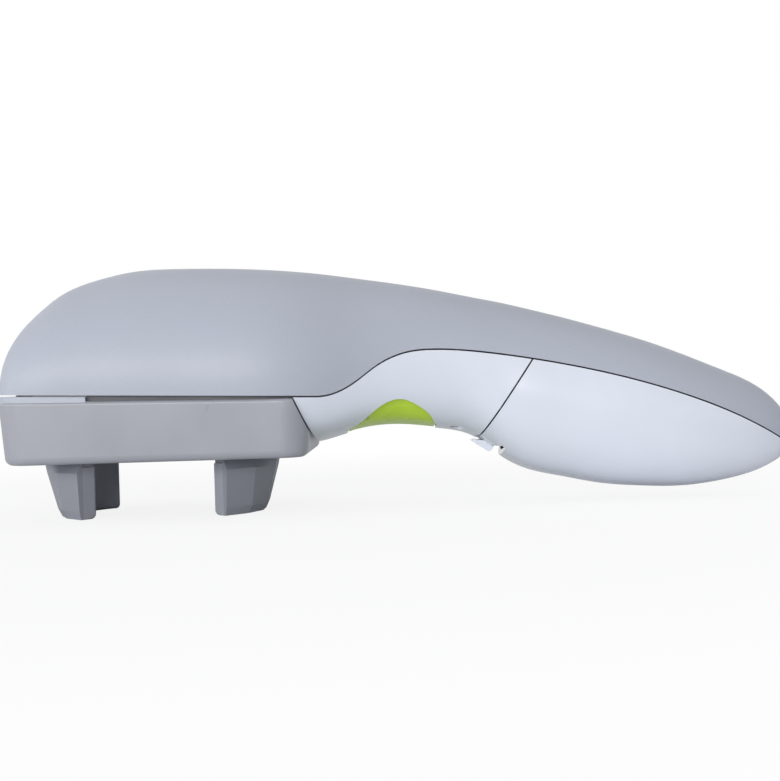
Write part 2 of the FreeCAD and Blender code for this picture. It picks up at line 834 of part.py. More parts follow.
def turntable_disc():
    disc = rod(0, 0, base_low, disc_top, disc_radius)
    disc = disc.fuse(rod(0, 0, disc_top, flange_top, flange_radius))
    rib = box(-rib_reach, rib_reach, rib_inner_y, rib_inner_y + rib_width, flange_top - 0.5, cover_low)
    disc = disc.fuse(both_sides(rib))
    slot_half = stem_half_width + rack_side_gap
    slot_far = stem_far + slot_end_gap
    slot_near = stem_near - jaw_stroke - slot_end_gap
    slot = box(-slot_far, -slot_near, -slot_half, slot_half, base_low - 1, flange_top + 1)
    disc = disc.cut(slot).cut(half_turn(slot))
    disc = disc.cut(rod(0, 0, base_low + 0.8, flange_top + 1, stub_radius + running_gap))
    for x, y in hub_screw_places:
        disc = disc.cut(rod(x, y, cover_low - 4.0, cover_low + 1, small_radius + running_gap))
    return disc


def hub_cover():
    plate = rod(0, 0, cover_low, cover_top, cover_radius)
    flat = box(-40, 40, rib_inner_y + rib_width + 1.0, 50, cover_low - 1, cover_top + 1)
    for side in both_sides(flat):
        plate = plate.cut(side)
    hub = rod(0, 0, cover_top - 0.5, hub_top, hub_radius)
    solid = plate.fuse(hub).cut(rod(0, 0, cover_low - 1, hub_top + 1, shaft_radius + running_gap))
    groove_top = ring_level + ring_thickness + 0.1
    solid = solid.cut(tube(0, 0, ring_level, groove_top, hub_radius + 2, hub_radius - 0.6))
    for x, y in hub_screw_places:
        solid = solid.cut(rod(x, y, cover_low - 1, cover_top + 1, small_radius + running_gap))
    return solid


def hub_screws():
    screws = []
    head_height = small_head_height - 0.6
    for x, y in hub_screw_places:
        screws.append(screw(x, y, cover_top, cover_low - 3.5, small_radius, small_head_radius, head_height))
    return Part.makeCompound(screws)


def retaining_ring():
    low = ring_level + 0.05
    ring = tube(0, 0, low, low + ring_thickness, hub_radius + 1.4, hub_radius - 0.55)
    return ring.cut(box(0, 20, -2.2, 2.2, ring_level - 1, ring_level + 2))


# Gears


def gear_outline(teeth, module, tooth_deg):
    """Points round a spur gear with involute flanks; one tooth is centred on tooth_deg."""
    pitch_radius = teeth * module / 2
    base_radius = pitch_radius * math.cos(math.radians(pressure_deg))
    tip_radius = pitch_radius + addendum * module
    root_radius = pitch_radius - dedendum * module
    involute_at_pitch = math.tan(math.radians(pressure_deg)) - math.radians(pressure_deg)
    half_tooth = math.pi / (2 * teeth) - backlash * module / (4 * pitch_radius)
    start = max(base_radius, root_radius)
    flank = []
    if root_radius < base_radius:
        flank.append((root_radius, half_tooth + involute_at_pitch))
    for step in range(3):
        radius = start + (tip_radius - start) * step / 2
        roll = math.acos(min(1.0, base_radius / radius))
        flank.append((radius, half_tooth + involute_at_pitch - (math.tan(roll) - roll)))
    points = []
    for index in range(teeth):
        middle = math.radians(tooth_deg) + 2 * math.pi * index / teeth
        for radius, angle in flank:
            points.append((radius * math.cos(middle - angle), radius * math.sin(middle - angle)))
        for radius, angle in reversed(flank):
            points.append((radius * math.cos(middle + angle), radius * math.sin(middle + angle)))
    return points


def gear(centre, teeth, module, tooth_deg, low, high):
    wheel = plan_prism(gear_outline(teeth, module, tooth_deg), low, high)
    return wheel.translated(centre)


def direction_deg(start, end):
    return math.degrees(math.atan2(end.y - start.y, end.x - start.x))


def gap_toward(start, end, teeth):
    """Angle of a tooth when a gap between two teeth faces from start to end."""
    return direction_deg(start, end) + 180.0 / teeth


first_mesh = (output_teeth + pinion_teeth) * coarse_module / 2 + centre_slack
second_mesh = (second_teeth + pinion_teeth) * middle_module / 2 + centre_slack
motor_mesh = (first_teeth + motor_teeth) * fine_module / 2 + centre_slack
spindle = Vector(0, 0, 0)
second_axis = polar(first_mesh, second_angle_deg)
first_swing = (first_mesh ** 2 + first_distance ** 2 - second_mesh ** 2) / (2 * first_mesh * first_distance)
first_axis = polar(first_distance, second_angle_deg + math.degrees(math.acos(first_swing)))
motor_axis = first_axis + polar(motor_mesh, motor_turn_deg)
second_gear_low = output_top + 1.0
second_gear_top = second_gear_low + second_width
first_gear_low = second_gear_top + 1.0
first_gear_top = first_gear_low + first_width


def output_gear():
    tooth = direction_deg(spindle, second_axis)
    wheel = gear(spindle, output_teeth, coarse_module, tooth, output_low, output_top)
    wheel = wheel.cut(rod(0, 0, output_low - 1, output_top + 1, hub_radius + 0.01))
    for index in range(6):
        spot = polar(16.0, 30 + 60 * index)
        wheel = wheel.cut(rod(spot.x, spot.y, output_low - 1, output_top + 1, 5.0))
    return wheel


def compound_gear_b():
    gap = gap_toward(second_axis, spindle, pinion_teeth)
    small = gear(second_axis, pinion_teeth, coarse_module, gap, output_low - 0.3, output_top + 0.3)
    collar = rod(second_axis.x, second_axis.y, output_top, second_gear_low + 0.1, 4.4)
    tooth = direction_deg(second_axis, first_axis)
    large = gear(second_axis, second_teeth, middle_module, tooth, second_gear_low, second_gear_top)
    solid = small.fuse([collar, large])
    return solid.cut(rod(second_axis.x, second_axis.y, 0, 90, axle_radius + running_gap))


def compound_gear_a():
    gap = gap_toward(first_axis, second_axis, pinion_teeth)
    small = gear(first_axis, pinion_teeth, middle_module, gap, second_gear_low - 0.2, second_gear_top + 0.2)
    collar = rod(first_axis.x, first_axis.y, second_gear_top, first_gear_low + 0.1, 3.0)
    tooth = direction_deg(first_axis, motor_axis)
    large = gear(first_axis, first_teeth, fine_module, tooth, first_gear_low, first_gear_top)
    solid = small.fuse([collar, large])
    return solid.cut(rod(first_axis.x, first_axis.y, 0, 90, axle_radius + running_gap))


def motor_pinion():
    tooth = gap_toward(motor_axis, first_axis, motor_teeth)
    wheel = gear(motor_axis, motor_teeth, fine_module, tooth, first_gear_low - 0.2, first_gear_top + 1.2)
    return wheel.cut(rod(motor_axis.x, motor_axis.y, 0, 90, motor_shaft_radius))


def motor_shaft():
    return rod(motor_axis.x, motor_axis.y, first_gear_low, motor_low + motor_length - 2.0, motor_shaft_radius)


def axles():
    rods = []
    for axis in (second_axis, first_axis):
        rods.append(rod(axis.x, axis.y, plate_level, motor_low, axle_radius))
    return Part.makeCompound(rods)


def center_pinion():
    wheel = gear(spindle, pinion_teeth, coarse_module, 90.0, rack_low, rack_top)
    stub = rod(0, 0, base_low + 1.1, rack_low + 0.1, stub_radius)
    shaft = rod(0, 0, rack_top - 0.1, brake_top, shaft_radius)
    return wheel.fuse([stub, shaft])


def brake_disc():
    disc = rod(0, 0, brake_low, brake_top, brake_radius)
    return disc.cut(rod(0, 0, brake_low - 1, brake_top + 1, shaft_radius + 0.01))


def brake_spring():
    """Cone shaped spring washer under the brake disc."""
    low = hub_top + face_gap
    rise = brake_low - low - 0.35
    points = [Vector(5.6, 0, low), Vector(5.6, 0, low + 0.35)]
    points += [Vector(3.0, 0, low + 0.35 + rise), Vector(3.0, 0, low + rise)]
    face = Part.Face(Part.makePolygon(points + points[:1]))
    return face.revolve(Vector(0, 0, 0), Vector(0, 0, 1), 360)


def brake_pad():
    low = brake_top + face_gap
    return tube(0, 0, low, low + pad_ring_thickness, brake_radius - 0.4, 3.4)


# Frame plates and motor

motor_screw_places = [motor_axis + Vector(0, motor_screw_radius * side, 0) for side in (1, -1)]


def gear_frame():
    plate = rounded_prism(plate_half_x, plate_half_y, 4.0, plate_level, plate_top)
    pillars = [rod(x, y, plate_top - 0.5, motor_plate_level, pillar_radius) for x, y in pillar_places]
    plate = plate.fuse(pillars)
    holes = [rod(0, 0, plate_level - 1, plate_top + 1, bush_radius)]
    for x, y in boss_places:
        holes.append(rod(x, y, plate_level - 1, plate_top + 1, screw_radius + running_gap))
    for axis in (second_axis, first_axis):
        holes.append(rod(axis.x, axis.y, plate_level - 1, plate_top + 1, axle_radius + 0.01))
    for x, y in pillar_places:
        holes.append(rod(x, y, motor_plate_level - 6, motor_plate_level + 1, small_radius + running_gap))
    for x, y in ((-20.0, 8.0), (-20.0, -8.0), (-8.0, 22.0), (-8.0, -22.0)):
        holes.append(rod(x, y, plate_level - 1, plate_top + 1, 4.5))
    return plate.cut(Part.makeCompound(holes))


def hub_bush():
    sleeve = tube(0, 0, plate_level, plate_top, bush_radius - 0.01, hub_radius + running_gap)
    collar = tube(0, 0, plate_top, plate_top + 0.6, bush_radius + 1.2, hub_radius + running_gap)
    return sleeve.fuse(collar).removeSplitter()


def motor_plate():
    points = [(-30.0, 26.0), (-30.0, -26.0), (14.0, -33.0), (23.0, -33.0), (37.0, -14.0)]
    points += [(37.0, 4.0), (33.0, 20.0), (22.0, 35.0), (10.0, 35.0)]
    plate = plan_prism(points, motor_plate_level, motor_low)
    upright = [edge for edge in plate.Edges if abs(edge.Vertexes[0].Point.z - edge.Vertexes[1].Point.z) > 1]
    plate = plate.makeFillet(4.0, upright)
    boss = rod(0, 0, brake_top + face_gap + pad_ring_thickness, motor_plate_level + 0.5, brake_radius)
    plate = plate.fuse(boss)
    holes = [rod(motor_axis.x, motor_axis.y, motor_plate_level - 1, motor_low + 1, 3.0)]
    for axis in (second_axis, first_axis):
        holes.append(rod(axis.x, axis.y, motor_plate_level - 1, motor_low + 1, axle_radius + 0.01))
    for x, y in pillar_places:
        holes.append(rod(x, y, motor_plate_level - 1, motor_low + 1, small_radius + running_gap))
    for place in motor_screw_places:
        holes.append(rod(place.x, place.y, motor_plate_level - 1, motor_low + 1, small_radius + running_gap))
    return plate.cut(Part.makeCompound(holes))


def plate_screws():
    screws = []
    for x, y in pillar_places:
        screws.append(small_screw(x, y, motor_low, motor_plate_level - 5))
    return Part.makeCompound(screws)


def motor_screws():
    screws = []
    for place in motor_screw_places:
        screws.append(small_screw(place.x, place.y, motor_plate_level - small_head_height, motor_low + 2.5))
    return Part.makeCompound(screws)


def motor_can():
    can = rod(motor_axis.x, motor_axis.y, motor_low, motor_low + motor_length - 2.0, motor_radius)
    high_edges = [edge for edge in can.Edges if edge.BoundBox.ZMin > motor_low + 10]
    top_edge = [edge for edge in high_edges if edge.BoundBox.XLength > 20]
    can = can.makeFillet(1.4, top_edge)
    holes = [rod(motor_axis.x, motor_axis.y, motor_low - 1, motor_low + 90, motor_shaft_radius + running_gap)]
    for place in motor_screw_places:
        holes.append(rod(place.x, place.y, motor_low - 1, motor_low + 3, small_radius + running_gap))
    return can.cut(Part.makeCompound(holes))


def motor_cap():
    low = motor_low + motor_length - 2.0
    cap = rod(motor_axis.x, motor_axis.y, low, low + 2.0, motor_radius - 2.4)
    lugs = []
    for side in (1, -1):
        x = motor_axis.x + side * 6.0
        lugs.append(box(x - 0.3, x + 0.3, motor_axis.y - 1.4, motor_axis.y + 1.4, low + 1.5, low + 3.0))
    return cap.fuse(lugs)


# Batteries


def cell_places():
    half = cell_pitch / 2
    return [(half, half), (-half, half), (half, -half), (-half, -half)]


def cell(y, z, forward):
    """One cell; the raised contact is on the nose side when forward is true."""
    start = 0.0 if not forward else cell_nub
    body = Part.makeCylinder(cell_radius, cell_body, Vector(start, y, z), Vector(1, 0, 0))
    body = body.makeFillet(0.6, [edge for edge in body.Edges if edge.Closed])
    nub_start = 0.0 if forward else cell_body
    nub = Part.makeCylinder(2.7, cell_nub, Vector(nub_start, y, z), Vector(1, 0, 0))
    return to_part(to_cells(body.fuse(nub)))


def battery_tray():
    """Holder over the four cells, open below, with an ear for its screws."""
    def shaped(half, corner, start, end):
        solid = rounded_prism(half, half, corner, start, end)
        solid.rotate(Vector(0, 0, 0), Vector(0, 1, 0), 90)
        return solid
    start = -contact_room - tray_wall
    end = cell_span + contact_room + tray_wall
    tray = shaped(tray_half + tray_wall, cell_radius + tray_clearance + tray_wall, start, end)
    tray = tray.cut(shaped(tray_half, cell_radius + tray_clearance, start + tray_wall, end - tray_wall))
    tray = tray.cut(box(start + tray_wall, end - tray_wall, -40, 40, -40, -cell_pitch / 2 + 1.0))
    tray = tray.cut(box(start - 1, end + 1, -40, 40, -40, tray_end_low))
    tray = to_cells(tray)
    ear = box(98.0, 111.4, -10.5, 10.5, tray_ear_top - 1.6, tray_ear_top)
    tray = tray.fuse(ear)
    inside = to_cells(shaped(tray_half, cell_radius + tray_clearance, start + tray_wall, end - tray_wall))
    tray = tray.cut(inside)
    for x, y in tray_post_places:
        tray = tray.cut(rod(x, y, 0, 30, small_radius + running_gap))
    return to_part(tray)


def tray_screws():
    screws = []
    for x, y in tray_post_places:
        screws.append(small_screw(x, y, tray_ear_top - 1.6 - small_head_height, tray_ear_top + 7))
    return to_part(Part.makeCompound(screws))


def board_screws():
    screws = []
    for x, y in board_post_places:
        screws.append(small_screw(x, y, board_level - small_head_height, board_level + board_thickness + 7))
    return to_part(Part.makeCompound(screws))


def contact_plates(start, direction, pairs):
    """Plates that bridge two cells, each with a pressed dimple."""
    plates = []
    for first, second in pairs:
        y0 = min(first[0], second[0]) - 5.0
        y1 = max(first[0], second[0]) + 5.0
        z0 = min(first[1], second[1]) - 5.0
        z1 = max(first[1], second[1]) + 5.0
        x0 = min(start, start + direction * 0.5)
        plate = box(x0, x0 + 0.5, y0, y1, z0, z1)
        dimples = []
        for y, z in (first, second):
            tip = start + direction * (contact_room - 0.2)
            axis = Vector(direction, 0, 0)
            dimples.append(Part.makeCone(4.0, 2.0, abs(tip - start), Vector(start, y, z), axis))
        plates.append(to_part(to_cells(plate.fuse(dimples))))
    return Part.makeCompound(plates)


def front_contacts():
    a, b, c, d = cell_places()
    return contact_plates(-contact_room + 0.1, 1, [(a, b), (c, d)])


def rear_contacts():
    a, b, c, d = cell_places()
    return contact_plates(cell_span + contact_room - 0.1, -1, [(a, c), (b, d)])


# Battery cover


def battery_cover():
    cover = lower_skin.common(behind_line(cover_seam_top, cover_seam_low, cover_gap / 2))
    cover = cover.cut(box(hinge_x - 0.3, tail_x + 2, -20, 20, -40, 0))
    points = [(196.2, -17.4), (199.0, -16.2), (200.6, -17.2), (199.6, -18.6), (196.2, -20.6)]
    web = side_prism(points, knuckle_half_width).common(outer_block)
    knuckle = cross_rod(hinge_x, hinge_z, -knuckle_half_width, knuckle_half_width, knuckle_radius)
    cover = cover.fuse([web, knuckle])
    notch = box(latch_pin_x - 6, latch_pin_x + 3.4, -latch_notch, latch_notch, -30, latch_pin_z + 4.0)
    cheek_side = latch_notch + latch_cheek
    cheek = box(latch_pin_x - 1.6, latch_pin_x + 3.0, latch_notch, cheek_side, -26, latch_pin_z + 2.0)
    cheeks = [side.common(middle_block) for side in both_sides(cheek)]
    groove = side_prism(finger_groove, finger_groove_half)
    holes = [notch, groove, cross_rod(hinge_x, hinge_z, -10, 10, hinge_radius + running_gap)]
    pin_room = latch_pin_radius + running_gap
    holes.append(cross_rod(latch_pin_x, latch_pin_z, -latch_pin_half, latch_pin_half, pin_room))
    return to_part(cover.fuse(cheeks).cut(Part.makeCompound(holes)))


def battery_latch():
    """Tab with an arm up to a barrel on its pin."""
    points = [(98.2, -16.0), (99.2, -15.6), (102.6, -15.9), (103.0, -14.0), (105.6, -14.0)]
    points += [(105.4, -17.6), (104.6, -19.1), (103.6, -19.4)]
    tab = side_prism(points, latch_half_width)
    barrel = cross_rod(latch_pin_x, latch_pin_z, -latch_half_width, latch_half_width, latch_barrel_radius)
    bore = cross_rod(latch_pin_x, latch_pin_z, -10, 10, latch_pin_radius + running_gap)
    return to_part(tab.fuse(barrel).cut(bore))


def latch_pin():
    return to_part(cross_rod(latch_pin_x, latch_pin_z, -latch_pin_half, latch_pin_half, latch_pin_radius))


def trigger_pin():
    return to_part(cross_rod(pin_x, pin_z, -pin_half, pin_half, pin_radius))


def trigger_spring():
    return to_part(coil(spring_x, spring_low, spring_high, spring_radius, spring_wire, spring_turns))


def in_part(make):
    return lambda: to_part(make())


def turned(make):
    return lambda: half_turn(make())


def numbered_cell(index):
    y, z = cell_places()[index]
    return lambda: cell(y, z, index in (0, 3))


pieces = {
    "upper_shell": upper_shell,
    "handle_shell": handle_shell,
    "jaw_housing": jaw_housing,
    "gear_frame": gear_frame,
    "motor_plate": motor_plate,
    "hub_bush": hub_bush,
    "motor_can": motor_can,
    "motor_cap": motor_cap,
    "motor_screws": motor_screws,
    "plate_screws": plate_screws,
    "housing_screws": housing_screws,
    "grip_screws": grip_screws,
    "gear_axles": axles,
    "brake_pad": brake_pad,
    "circuit_board": in_part(circuit_board),
    "board_parts": in_part(board_parts),
    "board_screws": board_screws,
    "trigger_switch": in_part(trigger_switch),
    "switch_screws": in_part(switch_screws),
    "trigger_pin": trigger_pin,
    "trigger_spring": trigger_spring,
    "battery_tray": battery_tray,
    "tray_screws": tray_screws,
    "front_contacts": front_contacts,
    "rear_contacts": rear_contacts,
    "cell_1": numbered_cell(0),
    "cell_2": numbered_cell(1),
    "cell_3": numbered_cell(2),
    "cell_4": numbered_cell(3),
    "hinge_pin": hinge_pin,
    "turntable_disc": turntable_disc,
    "hub_cover": hub_cover,
    "hub_screws": hub_screws,
    "output_gear": output_gear,
    "retaining_ring": retaining_ring,
    "center_pinion": center_pinion,
    "brake_disc": brake_disc,
    "brake_spring": brake_spring,
    "left_jaw": left_jaw,
    "left_pad": left_pad,
    "left_rack": left_rack,
    "left_jaw_screws": jaw_screws,
    "right_jaw": turned(left_jaw),
    "right_pad": turned(left_pad),
    "right_rack": turned(left_rack),
    "right_jaw_screws": turned(jaw_screws),
    "compound_gear_b": compound_gear_b,
    "compound_gear_a": compound_gear_a,
    "motor_shaft": motor_shaft,
    "motor_pinion": motor_pinion,
    "trigger_button": in_part(trigger_button),
    "switch_plunger": in_part(switch_plunger),
    "battery_cover": battery_cover,
    "battery_latch": battery_latch,
    "latch_pin": latch_pin,
}

os.makedirs("parts", exist_ok=True)
for name, make in pieces.items():
    piece = make()
    solids = [solid for solid in piece.Solids if solid.Volume > 1.0]
    Part.makeCompound(solids).exportStep(os.path.join("parts", name + ".step"))
    print(name, len(solids), round(piece.Volume, 1))
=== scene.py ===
# %% [markdown]
# # A handheld jar opener
#
# The part arrives as a fixed frame: every solid of the opener in metres, with its joints. This lesson
# dresses that frame. Most pieces keep their own mesh and get a finish. A few forms are modelled anew or
# added where the real object has more shape than its solids. Two of the added pieces also carry painted
# light: the pale rim on the housing is a painted highlight, and the dark tongue behind the parting line
# is painted shade.

import bmesh
import bpy
import json
import math
from mathutils import Matrix, Vector


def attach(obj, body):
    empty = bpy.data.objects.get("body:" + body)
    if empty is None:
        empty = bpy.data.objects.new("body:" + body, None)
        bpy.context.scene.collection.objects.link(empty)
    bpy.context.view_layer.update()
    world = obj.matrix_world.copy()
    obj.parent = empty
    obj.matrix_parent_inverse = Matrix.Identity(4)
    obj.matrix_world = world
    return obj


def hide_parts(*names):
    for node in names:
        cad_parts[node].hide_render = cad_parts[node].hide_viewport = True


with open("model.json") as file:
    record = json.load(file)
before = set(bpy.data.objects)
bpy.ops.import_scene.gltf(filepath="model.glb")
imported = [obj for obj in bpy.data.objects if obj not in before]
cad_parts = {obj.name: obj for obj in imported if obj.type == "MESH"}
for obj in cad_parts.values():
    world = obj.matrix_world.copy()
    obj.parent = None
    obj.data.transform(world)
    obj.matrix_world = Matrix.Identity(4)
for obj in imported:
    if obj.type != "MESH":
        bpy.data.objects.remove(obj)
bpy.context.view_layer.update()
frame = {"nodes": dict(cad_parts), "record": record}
MM = 0.001

# %% [markdown]
# The opener was photographed straight from the side, level with the seam of its head. The body is
# pitched a little against the jaws, so the camera is rolled by the same angle: the seam then lies level
# in the picture. A constraint could aim the camera too, but a matrix states its place and its roll at
# once. The lens follows from the distance and from the scale that was measured in the photograph.

# %% Camera
PITCH = math.radians(1.74)
BODY_OFFSET = Vector((1.2 * MM, 0, 39.0 * MM))
CAMERA_X = 72.3
CAMERA_DISTANCE = 440.0
PIXELS_PER_MM = 3.1
PICTURE_PIXELS = 781
SENSOR = 36.0


def body_point(x, y, z):
    """A point given in millimetres in the body's own frame, in the frame of the part."""
    return Matrix.Rotation(PITCH, 4, "Y") @ Vector((x * MM, y * MM, z * MM)) + BODY_OFFSET


camera_data = bpy.data.cameras.new("camera")
camera_data.sensor_width = SENSOR
camera_data.lens = CAMERA_DISTANCE * PIXELS_PER_MM / PICTURE_PIXELS * SENSOR
camera_data.clip_start = 10 * MM
camera = bpy.data.objects.new("camera", camera_data)
bpy.context.scene.collection.objects.link(camera)
stand = Matrix.Translation(body_point(CAMERA_X, -CAMERA_DISTANCE, 0))
roll = Matrix.Rotation(PITCH, 4, "Y")
look_level = Matrix.Rotation(math.radians(90), 4, "X")
camera.matrix_world = stand @ roll @ look_level
bpy.context.scene.camera = camera
print("lens", round(camera_data.lens, 2), "mm")

# %% [markdown]
# The photograph has a pure white background. The surround is white where the camera or a glossy surface
# looks at it, and dimmer as a light, so pale plastic keeps its shading. A picture of a studio could light
# the scene as well, but two plain colours and the Light Path node need no file.

# %% Surround
SURROUND_COLOUR = (0.95, 0.97, 1.0, 1)
SURROUND_STRENGTH = 0.47


def combined(tree, operation, first, second):
    """The outputs of two nodes, joined by a maths node and kept between 0 and 1."""
    node = tree.nodes.new("ShaderNodeMath")
    node.operation = operation
    node.use_clamp = True
    tree.links.new(first, node.inputs[0])
    tree.links.new(second, node.inputs[1])
    return node.outputs[0]


def blend(tree, factor, first, second, surface):
    """Lead two shaders to the surface: the first where the factor is 0, the second where it is 1."""
    mix = tree.nodes.new("ShaderNodeMixShader")
    tree.links.new(factor, mix.inputs["Fac"])
    tree.links.new(first.outputs[0], mix.inputs[1])
    tree.links.new(second.outputs[0], mix.inputs[2])
    tree.links.new(mix.outputs[0], surface)


world = bpy.data.worlds.new("studio")
bpy.context.scene.world = world
world.use_nodes = True
tree = world.node_tree
tree.nodes.clear()
output = tree.nodes.new("ShaderNodeOutputWorld")
seen = tree.nodes.new("ShaderNodeBackground")
seen.inputs["Color"].default_value = (1, 1, 1, 1)
seen.inputs["Strength"].default_value = 1.0
lit = tree.nodes.new("ShaderNodeBackground")
lit.inputs["Color"].default_value = SURROUND_COLOUR
lit.inputs["Strength"].default_value = SURROUND_STRENGTH
rays = tree.nodes.new("ShaderNodeLightPath").outputs
direct = combined(tree, "ADD", rays["Is Camera Ray"], rays["Is Transmission Ray"])
looked_at = combined(tree, "ADD", direct, rays["Is Glossy Ray"])
blend(tree, looked_at, lit, seen, output.inputs["Surface"])
bpy.context.scene.view_settings.view_transform = "Standard"
print("surround strength as a light", SURROUND_STRENGTH)

# %% [markdown]
# One broad lamp stands low on the camera's side, so upright faces are the lightest and the crown stays
# darker, as in the photograph. A narrow one lights the end of the nose, and a weak one hangs above. Area
# lamps are chosen for their soft edges: a sun or a point would draw hard shadows.

# %% Lamps
MIDDLE = Vector((0.07, 0, 0.045))
LAMPS = {
    # name: place, width and height, watts
    "front_lamp": ((-0.40, -1.3, 0.22), (1.3, 0.5), 12),
    "nose_lamp": ((-1.3, -0.45, 0.25), (0.2, 0.6), 2.5),
    "top_lamp": ((0.1, 0.1, 1.3), (1.4, 0.8), 1.2),
}

for name, (place, size, power) in LAMPS.items():
    data = bpy.data.lights.new(name, "AREA")
    data.shape = "RECTANGLE"
    data.size, data.size_y = size
    data.energy = power
    lamp = bpy.data.objects.new(name, data)
    bpy.context.scene.collection.objects.link(lamp)
    lamp.location = place
    lamp.rotation_euler = (MIDDLE - Vector(place)).to_track_quat("-Z", "Y").to_euler()
print("lamps", len(LAMPS))

# %% [markdown]
# The floor is nearly white. Near the opener most of its brightness for the camera is its own, and the
# rest is lit and keeps the soft shadow. Its own share grows to all of it further out, so the floor
# meets the white surround without an edge. A shadow catcher is another way, but only one of Blender's
# render engines has it, and these nodes work in both.

# %% Floor
FLOOR_HALF_SIZE = 6.0
FLOOR_COLOUR = (0.90, 0.90, 0.91, 1)
SHADOW_RADIUS = 0.10
WHITE_RADIUS = 0.45
OWN_SHARE_NEAR = 0.86


def new_material(name):
    """A material, its node tree and its main shader."""
    material = bpy.data.materials.new(name)
    material.use_nodes = True
    return material, material.node_tree, material.node_tree.nodes["Principled BSDF"]


floor_mesh = bmesh.new()
bmesh.ops.create_grid(floor_mesh, x_segments=1, y_segments=1, size=FLOOR_HALF_SIZE)
floor_data = bpy.data.meshes.new("floor")
floor_mesh.to_mesh(floor_data)
floor_mesh.free()
floor = bpy.data.objects.new("floor", floor_data)
bpy.context.scene.collection.objects.link(floor)

floor_paint, tree, shader = new_material("floor_paint")
shader.inputs["Base Color"].default_value = FLOOR_COLOUR
shader.inputs["Roughness"].default_value = 0.9
glow = tree.nodes.new("ShaderNodeEmission")
glow.inputs["Strength"].default_value = 1.0
coordinates = tree.nodes.new("ShaderNodeTexCoord")
away = tree.nodes.new("ShaderNodeVectorMath")
away.operation = "LENGTH"
tree.links.new(coordinates.outputs["Object"], away.inputs[0])
own_share = tree.nodes.new("ShaderNodeMapRange")
own_share.interpolation_type = "SMOOTHSTEP"
own_share.inputs["From Min"].default_value = SHADOW_RADIUS
own_share.inputs["From Max"].default_value = WHITE_RADIUS
own_share.inputs["To Min"].default_value = OWN_SHARE_NEAR
own_share.inputs["To Max"].default_value = 1.0
tree.links.new(away.outputs["Value"], own_share.inputs["Value"])
rays = tree.nodes.new("ShaderNodeLightPath").outputs
share = combined(tree, "MULTIPLY", rays["Is Camera Ray"], own_share.outputs[0])
blend(tree, share, shader, glow, tree.nodes["Material Output"].inputs["Surface"])
floor_data.materials.append(floor_paint)
print("floor", 2 * FLOOR_HALF_SIZE, "m wide")

# %% [markdown]
# Moulded plastic is never one flat colour. Its tone drifts a little over a hand's width, its gloss
# varies where the tool was polished, and its surface has a fine orange peel. An image could hold all
# three, but noise has no seams and no file. It runs on Object coordinates, so its size is in real
# millimetres on every piece.

# %% Noise and what it drives
NOISE_MIDDLE = (0.3, 0.7)
TONE_PLACES = (0.35, 0.65)
BUMP_STRENGTH = 0.5


def noise(tree, coordinates, size_mm, detail):
    """A noise whose patches are about size_mm wide."""
    texture = tree.nodes.new("ShaderNodeTexNoise")
    texture.inputs["Scale"].default_value = 1 / (size_mm * MM)
    texture.inputs["Detail"].default_value = detail
    tree.links.new(coordinates.outputs["Object"], texture.inputs["Vector"])
    return texture


def rough(tree, shader, source, low, high):
    """The middle of a noise, spread between two values of roughness."""
    between = tree.nodes.new("ShaderNodeMapRange")
    between.inputs["From Min"].default_value = NOISE_MIDDLE[0]
    between.inputs["From Max"].default_value = NOISE_MIDDLE[1]
    between.inputs["To Min"].default_value = low
    between.inputs["To Max"].default_value = high
    tree.links.new(source.outputs["Fac"], between.inputs["Value"])
    tree.links.new(between.outputs[0], shader.inputs["Roughness"])


def two_tones(tree, shader, source, colour, darker, lighter):
    """A colour that a noise moves between two factors of itself."""
    ramp = tree.nodes.new("ShaderNodeValToRGB")
    for element, place, factor in zip(ramp.color_ramp.elements, TONE_PLACES, (darker, lighter)):
        element.position = place
        element.color = (*(min(1.0, channel * factor) for channel in colour), 1)
    tree.links.new(source.outputs["Fac"], ramp.inputs["Fac"])
    tree.links.new(ramp.outputs["Color"], shader.inputs["Base Color"])


def surface_grain(tree, shader, source, height_mm):
    """A shallow bump from a noise."""
    bump = tree.nodes.new("ShaderNodeBump")
    bump.inputs["Strength"].default_value = BUMP_STRENGTH
    bump.inputs["Distance"].default_value = height_mm * MM
    tree.links.new(source.outputs["Fac"], bump.inputs["Height"])
    tree.links.new(bump.outputs["Normal"], shader.inputs["Normal"])


print("noise helpers ready, tones at", TONE_PLACES)

# %% [markdown]
# One function makes every moulded plastic, and a table states the amounts for each. The white handle is
# the glossiest, the housing is satin, and the jaws and pads are nearly matt. The colours were set by
# comparing the tone of each place in a render and in the photograph.

# %% Moulded plastics
DRIFT_MM = 22
DRIFT_DETAIL = 3
GRAIN_DETAIL = 2
COAT_ROUGHNESS = 0.12


def moulded(name, colour, gloss, drift, grain_mm, grain_height, coat=0.0):
    """A moulded finish: gloss is the range of roughness, drift the change of tone."""
    material, tree, shader = new_material(name)
    coordinates = tree.nodes.new("ShaderNodeTexCoord")
    broad = noise(tree, coordinates, DRIFT_MM, DRIFT_DETAIL)
    fine = noise(tree, coordinates, grain_mm, GRAIN_DETAIL)
    two_tones(tree, shader, broad, colour, 1 - drift, 1 + drift)
    rough(tree, shader, broad, *gloss)
    surface_grain(tree, shader, fine, grain_height)
    shader.inputs["Coat Weight"].default_value = coat
    shader.inputs["Coat Roughness"].default_value = COAT_ROUGHNESS
    return material


